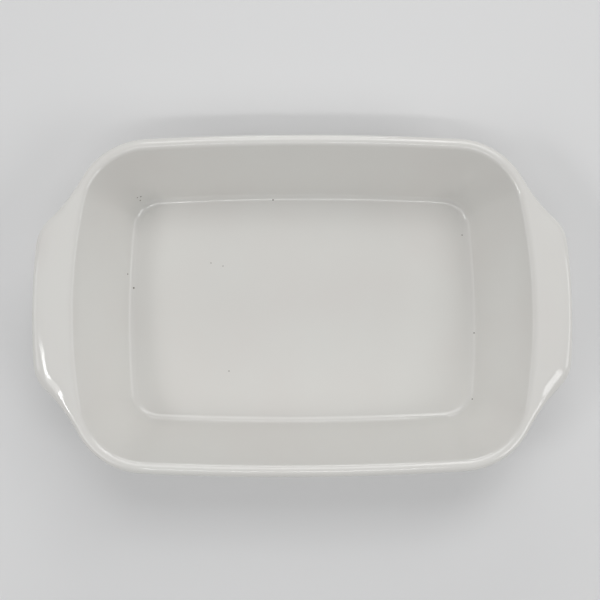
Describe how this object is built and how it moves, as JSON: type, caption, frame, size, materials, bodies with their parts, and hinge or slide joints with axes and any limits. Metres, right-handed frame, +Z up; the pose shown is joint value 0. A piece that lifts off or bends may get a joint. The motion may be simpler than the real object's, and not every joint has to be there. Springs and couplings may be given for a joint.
{
  "type": "lasagna dish",
  "caption": "Rectangular glazed stoneware oven dish with sloping walls, round corners, a rolled rim, wing handles at both ends and a bare foot ring.",
  "frame": {"origin": "on the table under the middle of the dish", "axes": "+X along the dish from the left handle to the right one, +Y across the dish, +Z up out of its mouth"},
  "size_m": [0.36, 0.2286, 0.062],
  "materials": {
    "glaze": "gloss",
    "clay": "matte"
  },
  "bodies": {
    "root": {"tub": "glaze", "left_handle": "glaze", "right_handle": "glaze", "foot_ring": "clay"}
  },
  "joints": []
}
